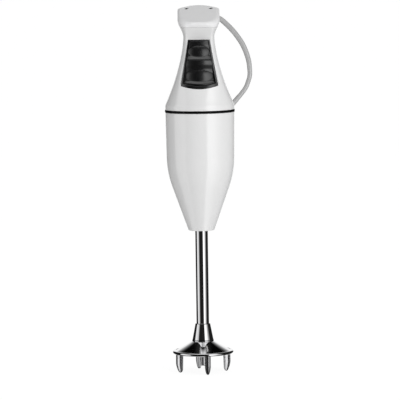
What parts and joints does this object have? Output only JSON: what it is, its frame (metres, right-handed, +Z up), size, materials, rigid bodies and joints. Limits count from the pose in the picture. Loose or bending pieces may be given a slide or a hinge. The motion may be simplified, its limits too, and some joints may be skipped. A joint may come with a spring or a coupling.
{
  "type": "immersion blender",
  "caption": "White stick mixer with two stacked black keys, a sealed tapering motor housing, a chromed shaft tube, a pronged splash guard and a coiled mains cord.",
  "frame": {"origin": "on the shaft's axis, where the taper of the motor housing is 34 mm across and sits in the ring of a wall bracket", "axes": "+Z up along the shaft towards the head cap, -Y out of the side with the keys, +X to the right of someone who looks at the keys"},
  "size_m": [0.0815, 0.1098, 0.339],
  "materials": {
    "white_plastic": "glossy moulded white",
    "grey_plastic": "light grey white, satin gloss",
    "seal_rubber": "matt black",
    "black_plastic": "satin black",
    "chrome_metal": "polished chrome plate",
    "bright_steel": "ground steel",
    "plug_metal": "nickel plated",
    "circuit_board": "solder mask green",
    "yellow_film": "moulded box",
    "cord_pvc": "smooth flexible sheath",
    "plug_plastic": "moulded",
    "tie_plastic": "woven tie",
    "wire_sleeve": "insulated wire",
    "lamination": "stacked sheet steel",
    "enamelled_copper": "varnished winding",
    "copper": "turned copper",
    "brass": "bent sheet",
    "bronze": "sintered",
    "cast_alloy": "die cast",
    "carbon": "pressed graphite"
  },
  "bodies": {
    "housing": {"motor_housing": "white_plastic", "seal_ring": "seal_rubber", "handle_shell": "white_plastic", "head_cap": "grey_plastic", "cap_screws": "bright_steel", "switch_bezel": "black_plastic", "key_spring_upper": "bright_steel", "key_spring_lower": "bright_steel", "switch_board": "circuit_board", "microswitch_upper": "black_plastic", "microswitch_lower": "black_plastic", "suppression_capacitor": "yellow_film", "strain_relief": "cord_pvc", "cord_clamp": "black_plastic", "inner_cord": "cord_pvc", "inner_leads": "wire_sleeve", "field_stack": "lamination", "field_coils": "enamelled_copper", "upper_bracket": "cast_alloy", "lower_bracket": "cast_alloy", "motor_screws": "bright_steel", "upper_bearing": "bronze", "lower_bearing": "bronze", "brush_holders": "brass", "carbon_brushes": "carbon", "shaft_tube": "chrome_metal", "tube_nut": "bright_steel", "tube_bush_upper": "bronze", "tube_bush_lower": "bronze", "shaft_seal": "seal_rubber", "guard_collar": "chrome_metal", "guard_bell": "chrome_metal", "guard_prong_front": "chrome_metal", "guard_prong_right": "chrome_metal", "guard_prong_rear": "chrome_metal", "guard_prong_left": "chrome_metal", "power_cord": "cord_pvc", "cord_hank": "cord_pvc", "hank_tie": "tie_plastic", "cord_tail": "cord_pvc", "plug_body": "plug_plastic", "plug_pins": "plug_metal"},
    "rotor": {"armature_shaft": "bright_steel", "armature_core": "lamination", "armature_winding": "enamelled_copper", "commutator": "copper", "coupling_upper": "cast_alloy", "coupling_spider": "seal_rubber", "coupling_lower": "cast_alloy", "drive_shaft": "bright_steel", "drive_cross_pin": "bright_steel"},
    "upper_key": {"key_upper": "black_plastic"},
    "lower_key": {"key_lower": "black_plastic"}
  },
  "joints": [
    {"name": "rotor_spin", "type": "hinge", "parent": "housing", "child": "rotor", "pos_m": [0, 0, 0], "axis": [0, 0, 1], "continuous": true},
    {"name": "upper_key_press", "type": "slide", "parent": "housing", "child": "upper_key", "axis": [0, 0.9903, -0.1392], "range_m": [0, 0.0016], "stiffness_N_per_m": 600, "springref_m": -0.003, "deforming": ["key_spring_upper"]},
    {"name": "lower_key_press", "type": "slide", "parent": "housing", "child": "lower_key", "axis": [0, 0.9903, -0.1392], "range_m": [0, 0.0016], "stiffness_N_per_m": 600, "springref_m": -0.003, "deforming": ["key_spring_lower"]}
  ]
}
